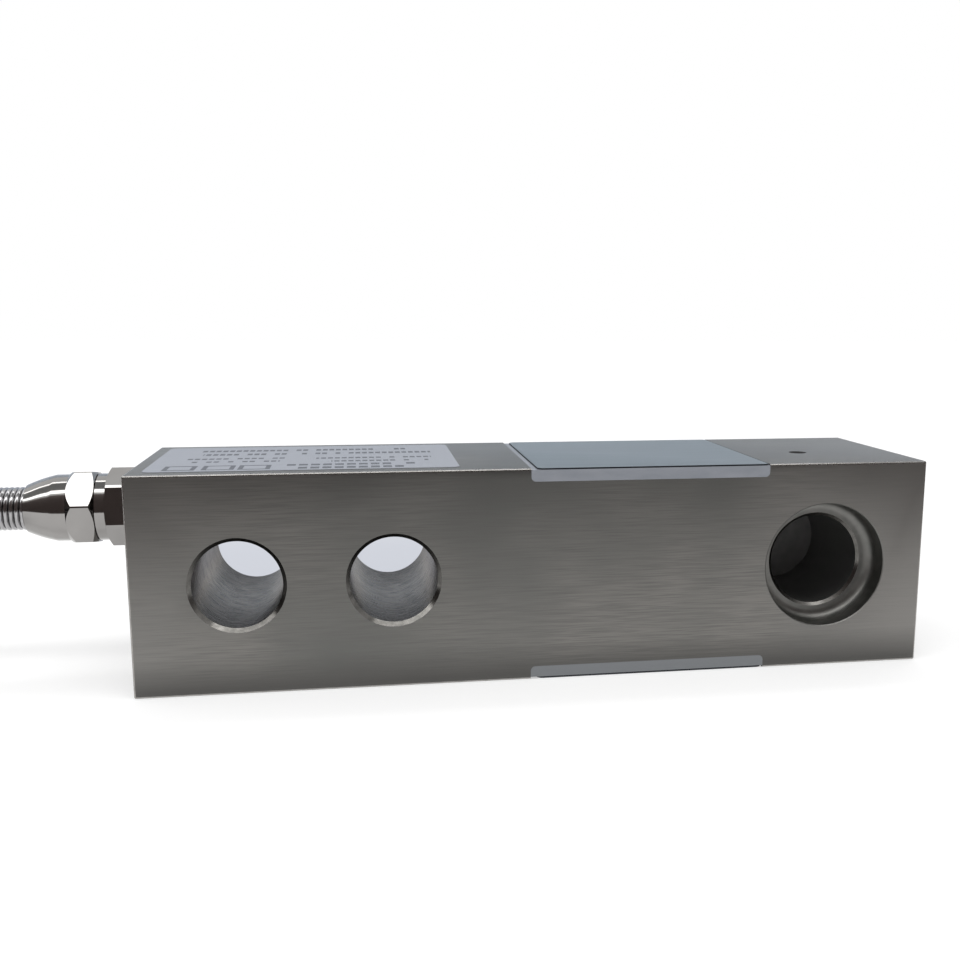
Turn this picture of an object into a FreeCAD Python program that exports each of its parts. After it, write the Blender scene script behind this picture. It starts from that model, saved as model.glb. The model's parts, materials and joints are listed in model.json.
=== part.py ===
import FreeCAD, Part
import math
import os
import re

import Sketcher

# Digital shear-beam load cell, in millimetres. X runs along the beam, from the cable end to the load end,
# Y along the mounting holes, with the load seat on the -Y face, and Z up from the face that it rests on.
# The origin is the middle of that face.

SIZES = {
    # beam
    "beam_length": 137.0,
    "beam_depth": 36.8,
    "beam_height": 36.8,
    "edge_break": 0.25,
    # mounting holes, from the cable end
    "hole_offset": 17.0,
    "hole_pitch": 25.4,
    "mount_bore": 14.6,
    "mount_chamfer": 0.65,
    # load hole: counterbore with a rounded corner, and blind bore with a broken lip
    "load_distance": 76.2,
    "seat_bore": 22.2,
    "seat_break": 0.3,
    "seat_depth": 4.7,
    "seat_fillet": 1.7,
    "load_bore": 16.4,
    "load_lip": 0.4,
    "load_depth": 25.0,
    # small blind hole on the top face, above the load hole
    "earth_hole": 3.3,
    "earth_depth": 6.0,
    "earth_forward": 3.9,
    # cover recesses, gauge pockets and the web between them
    "recess_offset": 65.5,
    "recess_length": 42.1,
    "recess_depth": 2.25,
    "recess_corner": 0.8,
    "plate_thickness": 0.4,
    "plate_gap": 0.7,
    "plate_inset": 0.15,
    "pocket_length": 30.0,
    "pocket_width": 24.0,
    "pocket_corner": 5.0,
    "web_thickness": 5.0,
    "cross_hole": 3.0,
    "cross_hole_inset": 3.5,
    # label on the top face
    "label_length": 51.4,
    "label_width": 31.0,
    "label_thickness": 0.1,
    "label_corner": 1.5,
    "label_offset": 2.4,
    # strain gauges, terminals and converter board
    "gauge_side": 10.0,
    "gauge_thickness": 0.15,
    "strip_length": 8.0,
    "strip_width": 3.0,
    "strip_thickness": 0.8,
    "strip_gap": 2.0,
    "ribbon_width": 2.0,
    "ribbon_thickness": 0.4,
    "board_length": 24.0,
    "board_width": 16.0,
    "board_thickness": 1.2,
    "board_lift": 4.0,
    "spacer_side": 2.0,
    "converter_side": 6.0,
    "processor_side": 7.0,
    "chip_thickness": 1.2,
    "bus_length": 5.0,
    "bus_width": 4.0,
    "crystal_length": 5.0,
    "crystal_width": 2.4,
    "crystal_thickness": 1.4,
    "terminal_length": 3.0,
    "terminal_width": 8.0,
    "chip_gap": 1.5,
    # gland hole and wire channel in the cable end
    "gland_rise": 10.4,
    "tap_bore": 8.0,
    "tap_depth": 7.0,
    "channel_bore": 3.4,
    "bundle_diameter": 2.6,
    # gland, stacked outwards from the beam's end face
    "hex_flats": 12.0,
    "hex_turn": 10.0,
    "hex_chamfer": 0.6,
    "nut_chamfer": 1.2,
    "gasket_thickness": 0.8,
    "gasket_diameter": 11.0,
    "shank_length": 6.4,
    "hex_length": 4.8,
    "collar_length": 1.8,
    "collar_diameter": 11.6,
    "male_thread": 9.8,
    "male_length": 4.0,
    "seal_pocket": 8.0,
    "seal_depth": 3.0,
    "seal_proud": 0.4,
    "nut_hex_length": 4.45,
    "dome_diameter": 11.5,
    "dome_land": 1.0,
    "dome_length": 7.15,
    "nose_diameter": 8.3,
    "flange_length": 1.7,
    "fit_gap": 0.1,
    # spring guard
    "guard_diameter": 7.45,
    "guard_bore": 5.75,
    "guard_pitch": 0.87,
    "guard_turns": 25,
    "guard_groove": 0.3,
    "guard_sides": 12,
    # cable, its wound hank, the ties and the bare far end
    "cable_diameter": 5.2,
    "hank_run": 104.0,
    "hank_inner_radius": 16.0,
    "hank_full_layers": 4,
    "hank_gap": 41.1,
    "hank_start": 78.0,
    "tie_thickness": 1.0,
    "tie_width": 3.6,
    "end_setback": 34.0,
    "core_length": 26.0,
    "core_diameter": 1.3,
    "core_gap": 0.1,
    "drain_diameter": 0.8,
}

doc = FreeCAD.newDocument("DigitalLoadCell")
sheet = doc.addObject("Spreadsheet::Sheet", "Sizes")
for row, (alias, size) in enumerate(SIZES.items(), start=1):
    sheet.set(f"A{row}", alias)
    sheet.set(f"B{row}", str(size))
    sheet.setAlias(f"B{row}", alias)
doc.recompute()

pieces = []


# Expressions on the sheet


def linked(expression):
    """The expression with the sheet's name before each of its sizes."""
    return re.sub(r"[a-z][a-z_]+\b(?!\()", lambda word: "Sizes." + word.group(), expression)


def number(expression):
    """What the expression on the sheet's sizes comes to."""
    return float(sheet.evalExpression(expression))


def bind(target, name, expression):
    """Ties one property of an object to the sheet."""
    target.setExpression(name, linked(expression))


def place(target, x, y, z):
    """Ties an object's place to the sheet."""
    for axis, expression in zip("xyz", (x, y, z)):
        bind(target, f"Placement.Base.{axis}", expression)


# Sketches and features


def new_body(label, x="0", y="0", z="0"):
    """An empty body at a place, counted as a piece."""
    body = doc.addObject("PartDesign::Body", label)
    body.Label = label
    place(body, x, y, z)
    pieces.append(body)
    return body


def datum(body, role):
    """One of the body's own origin planes or axes."""
    return next(feature for feature in body.Origin.OriginFeatures if feature.Role == role)


def new_sketch(body, role, x="0", y="0", z="0"):
    """A sketch on one of the body's origin planes, moved in that plane's own directions."""
    sketch = body.newObject("Sketcher::SketchObject", "Sketch")
    sketch.AttachmentSupport = [(datum(body, role), "")]
    sketch.MapMode = "FlatFace"
    for axis, expression in zip("xyz", (x, y, z)):
        bind(sketch, f"AttachmentOffset.Base.{axis}", expression)
    return sketch


def fix_point(sketch, geometry, end, x=None, y=None):
    """Ties a point's distances from the sketch's origin to the sheet."""
    for kind, expression in (("DistanceX", x), ("DistanceY", y)):
        if expression is not None:
            distance = Sketcher.Constraint(kind, -1, 1, geometry, end, number(expression))
            index = sketch.addConstraint(distance)
            bind(sketch, f"Constraints[{index}]", expression)


def draw_outline(sketch, corners):
    """Draws a closed outline of (x, y) corners, with the centre's (x, y) added where an arc leads on."""
    spots = [FreeCAD.Vector(number(corner[0]), number(corner[1]), 0) for corner in corners]
    ends = []
    for index, corner in enumerate(corners):
        start, finish = spots[index], spots[(index + 1) % len(spots)]
        if len(corner) == 2:
            edge = sketch.addGeometry(Part.LineSegment(start, finish))
            ends.append((edge, 1, 2))
            continue
        centre = FreeCAD.Vector(number(corner[2]), number(corner[3]), 0)
        outward = (start + finish) * 0.5 - centre
        middle = centre + outward.normalize() * start.distanceToPoint(centre)
        anticlockwise = (start - centre).cross(finish - centre).z > 0
        first, last = (start, finish) if anticlockwise else (finish, start)
        edge = sketch.addGeometry(Part.ArcOfCircle(first, middle, last))
        ends.append((edge, 1, 2) if anticlockwise else (edge, 2, 1))
    for index, (edge, start_end, _) in enumerate(ends):
        previous_edge, _, previous_end = ends[index - 1]
        sketch.addConstraint(Sketcher.Constraint("Coincident", previous_edge, previous_end, edge, start_end))
        fix_point(sketch, edge, start_end, corners[index][0], corners[index][1])
    for index, corner in enumerate(corners):
        if len(corner) == 4:
            chord = spots[(index + 1) % len(spots)] - spots[index]
            if abs(chord.x) > abs(chord.y):
                fix_point(sketch, ends[index][0], 3, y=corner[3])
            else:
                fix_point(sketch, ends[index][0], 3, x=corner[2])


def draw_rounded(sketch, x, y, length, width, radius):
    """Draws a rectangle with round corners about the point (x, y)."""
    left, right = f"{x} - {length} / 2", f"{x} + {length} / 2"
    front, back = f"{y} - {width} / 2", f"{y} + {width} / 2"
    draw_outline(
        sketch,
        [
            (f"{left} + {radius}", front),
            (f"{right} - {radius}", front, f"{right} - {radius}", f"{front} + {radius}"),
            (right, f"{front} + {radius}"),
            (right, f"{back} - {radius}", f"{right} - {radius}", f"{back} - {radius}"),
            (f"{right} - {radius}", back),
            (f"{left} + {radius}", back, f"{left} + {radius}", f"{back} - {radius}"),
            (left, f"{back} - {radius}"),
            (left, f"{front} + {radius}", f"{left} + {radius}", f"{front} + {radius}"),
        ],
    )


def draw_circle(sketch, x, y, diameter):
    """Draws a circle about the point (x, y)."""
    centre = FreeCAD.Vector(number(x), number(y), 0)
    edge = sketch.addGeometry(Part.Circle(centre, FreeCAD.Vector(0, 0, 1), number(diameter) / 2))
    fix_point(sketch, edge, 3, x, y)
    index = sketch.addConstraint(Sketcher.Constraint("Diameter", edge, number(diameter)))
    bind(sketch, f"Constraints[{index}]", diameter)


def extrude(body, kind, sketch, length, side="One side", back=False):
    """A pad or pocket of a sketch."""
    feature = body.newObject("PartDesign::" + kind, kind)
    feature.Profile = sketch
    feature.SideType = side
    feature.Reversed = back
    bind(feature, "Length", length)
    return feature


def turn(body, kind, sketch, axis):
    """A revolution or groove of a sketch about one of its own axes."""
    feature = body.newObject("PartDesign::" + kind, kind)
    feature.Profile = sketch
    feature.ReferenceAxis = (sketch, [axis])
    feature.Angle = 360
    return feature


def repeat(body, features, length, count, back=False):
    """Copies of features in a row along the body's X axis."""
    pattern = body.newObject("PartDesign::LinearPattern", "Row")
    pattern.Originals = features
    pattern.Direction = (datum(body, "X_Axis"), [""])
    pattern.Reversed = back
    bind(pattern, "Length", length)
    bind(pattern, "Occurrences", count)
    body.Tip = pattern
    return pattern


# Plain solids


def new_block(label, size, corner):
    """A box of a size, by its lowest corner, counted as a piece."""
    block = doc.addObject("Part::Box", label)
    block.Label = label
    for name, expression in zip(("Length", "Width", "Height"), size):
        bind(block, name, expression)
    place(block, *corner)
    pieces.append(block)
    return block


def along_x(label, diameter, length, x, y, z):
    """A cylinder from a point towards +X."""
    rod = doc.addObject("Part::Cylinder", label)
    rod.Label = label
    bind(rod, "Radius", f"({diameter}) / 2")
    bind(rod, "Height", length)
    rod.Placement = FreeCAD.Placement(FreeCAD.Vector(), FreeCAD.Rotation(FreeCAD.Vector(0, 1, 0), 90))
    place(rod, x, y, z)
    return rod


def group_of(label, solids):
    """Like solids that are one piece's repeats, kept apart in one node."""
    group = doc.addObject("Part::Compound", label)
    group.Label = label
    group.Links = solids
    pieces.append(group)
    return group


def rounded_path(points):
    """Straight runs through the points, joined by tangent arcs that take a share of the shorter run."""
    arc_share = 0.25
    edges, radii, reached = [], [], points[0]
    for before, corner, after in zip(points, points[1:], points[2:]):
        come, go = corner - before, after - corner
        setback = arc_share * min(come.Length, go.Length)
        turned = come.getAngle(go)
        radii.append(setback / math.tan(turned / 2))
        come.normalize()
        go.normalize()
        start, finish = corner - come * setback, corner + go * setback
        inward = (go - come).normalize()
        sagitta = radii[-1] * (1 / math.cos(turned / 2) - 1)
        edges.append(Part.LineSegment(reached, start).toShape())
        edges.append(Part.Arc(start, corner + inward * sagitta, finish).toShape())
        reached = finish
    edges.append(Part.LineSegment(reached, points[-1]).toShape())
    return Part.Wire(edges), radii


def tube_along(points, diameter):
    """A solid round tube along a rounded path, with the path's radii."""
    path, radii = rounded_path(points)
    heading = points[1] - points[0]
    section = Part.Wire(Part.makeCircle(diameter / 2, points[0], heading))
    tube = path.makePipeShell([section], True, True)
    expected = math.pi * diameter**2 / 4 * path.Length
    if abs(tube.Volume - expected) > 0.01 * expected:
        raise RuntimeError(f"tube volume {tube.Volume:.1f} is not section times length {expected:.1f}")
    return tube, radii


def new_tube(label, points, diameter):
    """A tube along a route, counted as a piece, with its bend radii printed."""
    shape, radii = tube_along([FreeCAD.Vector(*point) for point in points], diameter)
    tube = doc.addObject("Part::Feature", label)
    tube.Label = label
    tube.Shape = shape
    pieces.append(tube)
    print(label, "bend radii", [round(radius, 1) for radius in radii])
    return tube


# Places that several pieces share

cable_end = "(-beam_length / 2)"
mid_height = "(beam_height / 2)"
first_hole = f"({cable_end} + hole_offset)"
load_hole = f"({first_hole} + hole_pitch + load_distance)"
recess_middle = f"({cable_end} + recess_offset + recess_length / 2)"
recess_floor = "(beam_height / 2 - recess_depth)"
gland_height = f"({mid_height} + gland_rise)"

hex_end = "(gasket_thickness + hex_length)"
collar_end = f"({hex_end} + collar_length)"
male_end = f"({collar_end} + male_length)"
seal_start = f"({male_end} - seal_depth)"
seal_end = f"({male_end} + seal_proud)"
flange_end = f"({seal_end} + flange_length)"
nut_hex_end = f"({collar_end} + nut_hex_length)"
nut_end = f"({nut_hex_end} + dome_length)"
guard_end = f"({nut_end} + guard_pitch * guard_turns)"


# Beam: a block with broken edges


def recess_outline(top):
    """The recess's section in X and Z, open at the top, with round inner corners, about the beam's middle."""
    left = f"({recess_middle} - recess_length / 2)"
    right = f"({recess_middle} + recess_length / 2)"
    left_arc, right_arc = f"{left} + recess_corner", f"{right} - recess_corner"
    arc_height = f"{recess_floor} + recess_corner"
    return [
        (left, top),
        (left, arc_height, left_arc, arc_height),
        (left_arc, recess_floor),
        (right_arc, recess_floor, right_arc, arc_height),
        (right, arc_height),
        (right, top),
    ]


beam = new_body("beam", z=mid_height)
block_sketch = new_sketch(beam, "XY_Plane")
draw_outline(
    block_sketch,
    [
        ("-beam_length / 2", "-beam_depth / 2"),
        ("beam_length / 2", "-beam_depth / 2"),
        ("beam_length / 2", "beam_depth / 2"),
        ("-beam_length / 2", "beam_depth / 2"),
    ],
)
block = extrude(beam, "Pad", block_sketch, "beam_height", side="Symmetric")
doc.recompute()
edges = beam.newObject("PartDesign::Chamfer", "EdgeBreak")
edges.Base = (block, [f"Edge{index + 1}" for index in range(len(block.Shape.Edges))])
bind(edges, "Size", "edge_break")
doc.recompute()

# Mounting holes, chamfered at both mouths
hole_sketch = new_sketch(beam, "XY_Plane", x=first_hole)
draw_outline(
    hole_sketch,
    [
        ("0", "-beam_depth / 2"),
        ("mount_bore / 2 + mount_chamfer", "-beam_depth / 2"),
        ("mount_bore / 2", "-beam_depth / 2 + mount_chamfer"),
        ("mount_bore / 2", "beam_depth / 2 - mount_chamfer"),
        ("mount_bore / 2 + mount_chamfer", "beam_depth / 2"),
        ("0", "beam_depth / 2"),
    ],
)
hole = turn(beam, "Groove", hole_sketch, "V_Axis")
doc.recompute()
repeat(beam, [hole], "hole_pitch", "2")
doc.recompute()

# Load hole, from the front face: counterbore, its corner rounded in short cones, and blind bore with a lip
front = "-beam_depth / 2"
seat_floor = f"{front} + seat_depth"
rounding = [
    (
        f"seat_bore / 2 - seat_fillet * (1 - cos({angle}))",
        f"{seat_floor} - seat_fillet * (1 - sin({angle}))",
    )
    for angle in (0, 30, 60, 90)
]
load_sketch = new_sketch(beam, "XY_Plane", x=load_hole)
draw_outline(
    load_sketch,
    [
        ("0", front),
        ("seat_bore / 2 + seat_break", front),
        ("seat_bore / 2", f"{front} + seat_break"),
        *rounding,
        ("load_bore / 2 + load_lip", seat_floor),
        ("load_bore / 2", f"{seat_floor} + load_lip"),
        ("load_bore / 2", f"{front} + load_depth"),
        ("0", f"{front} + load_depth"),
    ],
)
turn(beam, "Groove", load_sketch, "V_Axis")

# Small blind hole in the top face
earth_sketch = new_sketch(beam, "XZ_Plane", x=load_hole, y=mid_height, z="earth_forward")
draw_outline(
    earth_sketch,
    [
        ("0", "0"),
        ("earth_hole / 2", "0"),
        ("earth_hole / 2", "-earth_depth"),
        ("0", "-earth_depth"),
    ],
)
turn(beam, "Groove", earth_sketch, "V_Axis")

# Gland hole and wire channel, from the cable end into the upper pocket
channel_length = "(recess_offset + recess_length / 2 - pocket_length / 2 + pocket_corner)"
channel_sketch = new_sketch(beam, "XZ_Plane", x=cable_end, y="gland_rise")
draw_outline(
    channel_sketch,
    [
        ("0", "0"),
        ("0", "tap_bore / 2 + edge_break"),
        ("edge_break", "tap_bore / 2"),
        ("tap_depth", "tap_bore / 2"),
        ("tap_depth", "channel_bore / 2"),
        (channel_length, "channel_bore / 2"),
        (channel_length, "0"),
    ],
)
turn(beam, "Groove", channel_sketch, "H_Axis")
doc.recompute()

# Cover recess and gauge pocket, milled alike from the top and bottom, with a hole for wires through the web
recess_sketch = new_sketch(beam, "XZ_Plane")
draw_outline(recess_sketch, recess_outline("beam_height / 2"))
recess = extrude(beam, "Pocket", recess_sketch, "beam_depth", side="Symmetric")
pocket_sketch = new_sketch(beam, "XY_Plane", z="web_thickness / 2")
draw_rounded(pocket_sketch, recess_middle, "0", "pocket_length", "pocket_width", "pocket_corner")
gauge_pocket = extrude(beam, "Pocket", pocket_sketch, "(beam_height - web_thickness) / 2", back=True)
doc.recompute()
mirrored = beam.newObject("PartDesign::Mirrored", "Underside")
mirrored.Originals = [recess, gauge_pocket]
mirrored.MirrorPlane = (datum(beam, "XY_Plane"), [""])
beam.Tip = mirrored
doc.recompute()
cross_x = f"({recess_middle} - pocket_length / 2 + cross_hole_inset)"
cross_sketch = new_sketch(beam, "XY_Plane")
draw_circle(cross_sketch, cross_x, "0", "cross_hole")
extrude(beam, "Pocket", cross_sketch, "web_thickness", side="Symmetric")
doc.recompute()


# Covers: a bed of sealing compound fills each recess over its pocket, and a thin plate lies in the bed


def new_cover(side, up):
    """The bed and plate of one face, up being 1 for the top face and -1 for the bottom one."""
    bed = new_body(f"{side}_sealing_bed", z=mid_height)
    if up < 0:
        bed.Placement = FreeCAD.Placement(bed.Placement.Base, FreeCAD.Rotation(FreeCAD.Vector(1, 0, 0), 180))
    bed_sketch = new_sketch(bed, "XZ_Plane")
    draw_outline(bed_sketch, recess_outline("beam_height / 2"))
    extrude(bed, "Pad", bed_sketch, "beam_depth", side="Symmetric")
    plate_length = "(recess_length - 2 * plate_gap)"
    plate_sketch = new_sketch(bed, "XY_Plane", z="beam_height / 2 - plate_thickness")
    left, right = f"{recess_middle} - {plate_length} / 2", f"{recess_middle} + {plate_length} / 2"
    draw_outline(
        plate_sketch,
        [
            (left, "-beam_depth / 2"),
            (right, "-beam_depth / 2"),
            (right, "beam_depth / 2"),
            (left, "beam_depth / 2"),
        ],
    )
    extrude(bed, "Pocket", plate_sketch, "plate_thickness", back=True)
    plate_depth = "(beam_depth - 2 * plate_inset)"
    new_block(
        f"{side}_cover_plate",
        (plate_length, plate_depth, "plate_thickness"),
        (left, f"-{plate_depth} / 2", "beam_height - plate_thickness" if up > 0 else "0"),
    )


new_cover("top", 1)
new_cover("bottom", -1)
doc.recompute()

# Label: a thin sticker with round corners on the top face
label = new_body("rating_label", z="beam_height")
label_sketch = new_sketch(label, "XY_Plane")
label_middle = f"({cable_end} + label_offset + label_length / 2)"
draw_rounded(label_sketch, label_middle, "0", "label_length", "label_width", "label_corner")
extrude(label, "Pad", label_sketch, "label_thickness")
doc.recompute()

# Strain gauges on both faces of the web, and the lower one's terminals
web_top = f"({mid_height} + web_thickness / 2)"
web_bottom = f"({mid_height} - web_thickness / 2)"
gauge_left = f"{recess_middle} - gauge_side / 2"
gauge_size = ("gauge_side", "gauge_side", "gauge_thickness")
new_block("upper_gauge", gauge_size, (gauge_left, "-gauge_side / 2", web_top))
new_block("lower_gauge", gauge_size, (gauge_left, "-gauge_side / 2", f"{web_bottom} - gauge_thickness"))
strip_left = f"({cross_x} + strip_gap)"
new_block(
    "lower_terminal_strip",
    ("strip_width", "strip_length", "strip_thickness"),
    (strip_left, "-strip_length / 2", f"{web_bottom} - strip_thickness"),
)

# Converter board on four spacers that stand on the web
board_bottom = f"({web_top} + board_lift)"
board_top = f"({board_bottom} + board_thickness)"
spacers = []
for x_side in (-1, 1):
    for y_side in (-1, 1):
        spacer = new_block(
            f"spacer_{len(spacers)}",
            ("spacer_side", "spacer_side", "board_lift"),
            (
                f"{recess_middle} + {x_side} * (board_length - spacer_side) / 2 - spacer_side / 2",
                f"{y_side} * (board_width - spacer_side) / 2 - spacer_side / 2",
                web_top,
            ),
        )
        pieces.remove(spacer)
        spacers.append(spacer)
group_of("board_spacers", spacers)
new_block(
    "converter_board",
    ("board_length", "board_width", "board_thickness"),
    (f"{recess_middle} - board_length / 2", "-board_width / 2", board_bottom),
)

# Parts on the board, in a row from the cable's terminal towards the load end
board_left = f"({recess_middle} - board_length / 2)"
terminal_height = f"({gland_height} - bundle_diameter / 2 - {board_top})"
new_block(
    "cable_terminal",
    ("terminal_length", "terminal_width", terminal_height),
    (board_left, "-terminal_width / 2", board_top),
)
converter_left = f"({board_left} + terminal_length + chip_gap)"
new_block(
    "converter_chip",
    ("converter_side", "converter_side", "chip_thickness"),
    (converter_left, "chip_gap / 2", board_top),
)
processor_left = f"({converter_left} + converter_side + chip_gap)"
new_block(
    "processor_chip",
    ("processor_side", "processor_side", "chip_thickness"),
    (processor_left, "chip_gap / 2", board_top),
)
new_block(
    "bus_chip",
    ("bus_length", "bus_width", "chip_thickness"),
    (converter_left, "-chip_gap / 2 - bus_width", board_top),
)
new_block(
    "clock_crystal",
    ("crystal_length", "crystal_width", "crystal_thickness"),
    (processor_left, "-chip_gap / 2 - crystal_width", board_top),
)

# Gauge leads: flat ribbons up to the board, the lower one bent through the hole in the web
new_block(
    "upper_gauge_leads",
    ("ribbon_width", "ribbon_thickness", "board_lift - gauge_thickness"),
    (f"{recess_middle} - ribbon_width / 2", "-ribbon_thickness / 2", f"{web_top} + gauge_thickness"),
)
lower_leads = new_body("lower_gauge_leads")
ribbon_left, ribbon_right = f"{cross_x} - ribbon_thickness / 2", f"{cross_x} + ribbon_thickness / 2"
ribbon_low = f"{web_bottom} - strip_thickness"
ribbon_sketch = new_sketch(lower_leads, "XZ_Plane")
draw_outline(
    ribbon_sketch,
    [
        (ribbon_left, ribbon_low),
        (strip_left, ribbon_low),
        (strip_left, f"{ribbon_low} + ribbon_thickness"),
        (ribbon_right, f"{ribbon_low} + ribbon_thickness"),
        (ribbon_right, board_bottom),
        (ribbon_left, board_bottom),
    ],
)
extrude(lower_leads, "Pad", ribbon_sketch, "ribbon_width", side="Symmetric")
doc.recompute()

# Core bundle: the cable's cores in the channel, from the end of the sheath to the board's terminal
bundle = along_x(
    "core_bundle",
    "bundle_diameter",
    "recess_offset + recess_length / 2 - board_length / 2 + terminal_length",
    cable_end,
    "0",
    gland_height,
)
pieces.append(bundle)


# Gland: its pieces are turned about one axis, in a frame at the beam's end face with the cable towards -X


def new_gland_body(label):
    """An empty body on the gland's axis."""
    return new_body(label, x=cable_end, z=gland_height)


def turned_outline(*corners):
    """An outline for turning, from (distance out from the beam, radius) pairs."""
    return [(f"-({out})", radius) for out, radius in corners]


def pad_hexagon(body, start, length, first_corner):
    """A hexagon along the gland's axis, its first corner at so many degrees from the top, then turned."""
    sketch = new_sketch(body, "YZ_Plane", z=f"-({start})")
    corner = "(hex_flats / sqrt(3))"
    angles = [f"(hex_turn + {first_corner + 60 * side})" for side in range(6)]
    draw_outline(sketch, [(f"{corner} * sin{angle}", f"{corner} * cos{angle}") for angle in angles])
    return extrude(body, "Pad", sketch, length, back=True)


def cone_hexagon_end(body, end, shoulder):
    """Turns the corners of a hexagon down to its flats by a cone, from a shoulder to an end."""
    corner = "hex_flats / sqrt(3)"
    beyond = f"{corner} + nut_chamfer"
    sketch = new_sketch(body, "XZ_Plane")
    draw_outline(
        sketch,
        turned_outline((end, "hex_flats / 2"), (end, beyond), (shoulder, beyond), (shoulder, corner)),
    )
    turn(body, "Groove", sketch, "H_Axis")
    doc.recompute()


gland_body = new_gland_body("gland_body")
pad_hexagon(gland_body, "gasket_thickness", "hex_length", 0)
doc.recompute()
shank_end = "(-shank_length)"
body_sketch = new_sketch(gland_body, "XZ_Plane")
draw_outline(
    body_sketch,
    turned_outline(
        (shank_end, "0"),
        (shank_end, "tap_bore / 2 - fit_gap"),
        ("gasket_thickness", "tap_bore / 2 - fit_gap"),
        ("gasket_thickness", "collar_diameter / 2"),
        (collar_end, "collar_diameter / 2"),
        (collar_end, "male_thread / 2"),
        (male_end, "male_thread / 2"),
        (male_end, "0"),
    ),
)
turn(gland_body, "Revolution", body_sketch, "H_Axis")
doc.recompute()
bore_sketch = new_sketch(gland_body, "XZ_Plane")
draw_outline(
    bore_sketch,
    turned_outline(
        (shank_end, "0"),
        (shank_end, "cable_diameter / 2 + fit_gap"),
        (seal_start, "cable_diameter / 2 + fit_gap"),
        (seal_start, "seal_pocket / 2"),
        (male_end, "seal_pocket / 2"),
        (male_end, "0"),
    ),
)
turn(gland_body, "Groove", bore_sketch, "H_Axis")
doc.recompute()
cone_hexagon_end(gland_body, hex_end, f"{hex_end} - hex_chamfer")


def new_ring(label, start, end, outer, inner):
    """A plain ring on the gland's axis."""
    ring = new_gland_body(label)
    sketch = new_sketch(ring, "XZ_Plane")
    draw_outline(sketch, turned_outline((start, inner), (start, outer), (end, outer), (end, inner)))
    turn(ring, "Revolution", sketch, "H_Axis")
    return ring


new_ring("gland_gasket", "0", "gasket_thickness", "gasket_diameter / 2", "tap_bore / 2 + edge_break")
new_ring("gland_seal", seal_start, seal_end, "seal_pocket / 2 - fit_gap", "cable_diameter / 2 + fit_gap / 2")

gland_nut = new_gland_body("gland_nut")
pad_hexagon(gland_nut, collar_end, "nut_hex_length", 30)
doc.recompute()
cone_hexagon_end(gland_nut, collar_end, f"{collar_end} + hex_chamfer")
cone_hexagon_end(gland_nut, nut_hex_end, f"{nut_hex_end} - nut_chamfer")
dome_start = f"({nut_hex_end} + dome_land)"
dome_sketch = new_sketch(gland_nut, "XZ_Plane")
draw_outline(
    dome_sketch,
    [
        (f"-{collar_end}", "0"),
        (f"-{collar_end}", "dome_diameter / 2"),
        (f"-{dome_start}", "dome_diameter / 2"),
        (f"-{nut_end}", "nose_diameter / 2"),
        (f"-{nut_end}", "0"),
    ],
)
turn(gland_nut, "Revolution", dome_sketch, "H_Axis")
doc.recompute()
cavity_sketch = new_sketch(gland_nut, "XZ_Plane")
draw_outline(
    cavity_sketch,
    turned_outline(
        (collar_end, "0"),
        (collar_end, "male_thread / 2 + fit_gap"),
        (flange_end, "male_thread / 2 + fit_gap"),
        (flange_end, "guard_diameter / 2 + fit_gap"),
        (nut_end, "guard_diameter / 2 + fit_gap"),
        (nut_end, "0"),
    ),
)
turn(gland_nut, "Groove", cavity_sketch, "H_Axis")
doc.recompute()

# Spring guard: a wound wire whose wide first turns are clamped in the nut, each turn a many-sided ridge
guard = new_gland_body("spring_guard")


def pad_guard(start, length, diameter):
    """A many-sided disc of the guard, by its start and length along the gland's axis."""
    sides = int(number("guard_sides"))
    angles = [2 * math.pi * side / sides for side in range(sides)]
    sketch = new_sketch(guard, "YZ_Plane", z=f"-({start})")
    radius = f"{diameter} / 2"
    draw_outline(sketch, [(f"{radius} * {math.sin(a):.6f}", f"{radius} * {math.cos(a):.6f}") for a in angles])
    feature = extrude(guard, "Pad", sketch, length, back=True)
    doc.recompute()
    return feature


wire_turn = pad_guard(nut_end, "guard_pitch", "guard_diameter")
rims = [
    f"Edge{index + 1}"
    for index, edge in enumerate(wire_turn.Shape.Edges)
    if math.isclose(edge.Vertexes[0].X, edge.Vertexes[1].X)
]
ridge = guard.newObject("PartDesign::Chamfer", "Ridge")
ridge.Base = (wire_turn, rims)
bind(ridge, "Size", "guard_groove")
doc.recompute()
winding = repeat(guard, [], "guard_pitch * (guard_turns - 1)", "guard_turns", back=True)
winding.TransformMode = "Whole shape"
doc.recompute()
pad_guard(flange_end, f"{nut_end} - {flange_end}", "guard_diameter")
pad_guard(seal_end, "flange_length", "male_thread")
guard_bore_sketch = new_sketch(guard, "XZ_Plane")
draw_outline(
    guard_bore_sketch,
    turned_outline(
        (seal_end, "0"),
        (seal_end, "guard_bore / 2"),
        (guard_end, "guard_bore / 2"),
        (guard_end, "0"),
    ),
)
turn(guard, "Groove", guard_bore_sketch, "H_Axis")
doc.recompute()

# Cable: straight through the gland and guard, then free to a wound hank on the floor beyond the guard
sheathed = along_x(
    "cable_in_guard", "cable_diameter", guard_end, f"{cable_end} - {guard_end}", "0", gland_height
)
pieces.append(sheathed)
exit_x, exit_z = number(f"{cable_end} - {guard_end}"), number(gland_height)
cable_diameter = number("cable_diameter")
hank_bottom = "tie_thickness"
outer_radius = "(hank_inner_radius + cable_diameter)"
outer_edge = f"({outer_radius} + cable_diameter / 2)"
top_layer = number(f"{hank_bottom} + (hank_full_layers + 0.5) * cable_diameter")
hank_side = number("hank_inner_radius")
new_tube(
    "cable",
    [
        (exit_x, 0, exit_z),
        (exit_x - 20, 0, exit_z),
        (exit_x - 58, -hank_side, top_layer),
        (exit_x - number("hank_start"), -hank_side, top_layer),
    ],
    cable_diameter,
)


# Hank: two columns of oval turns, with one more turn on top of the inner column where the cable comes in


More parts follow.
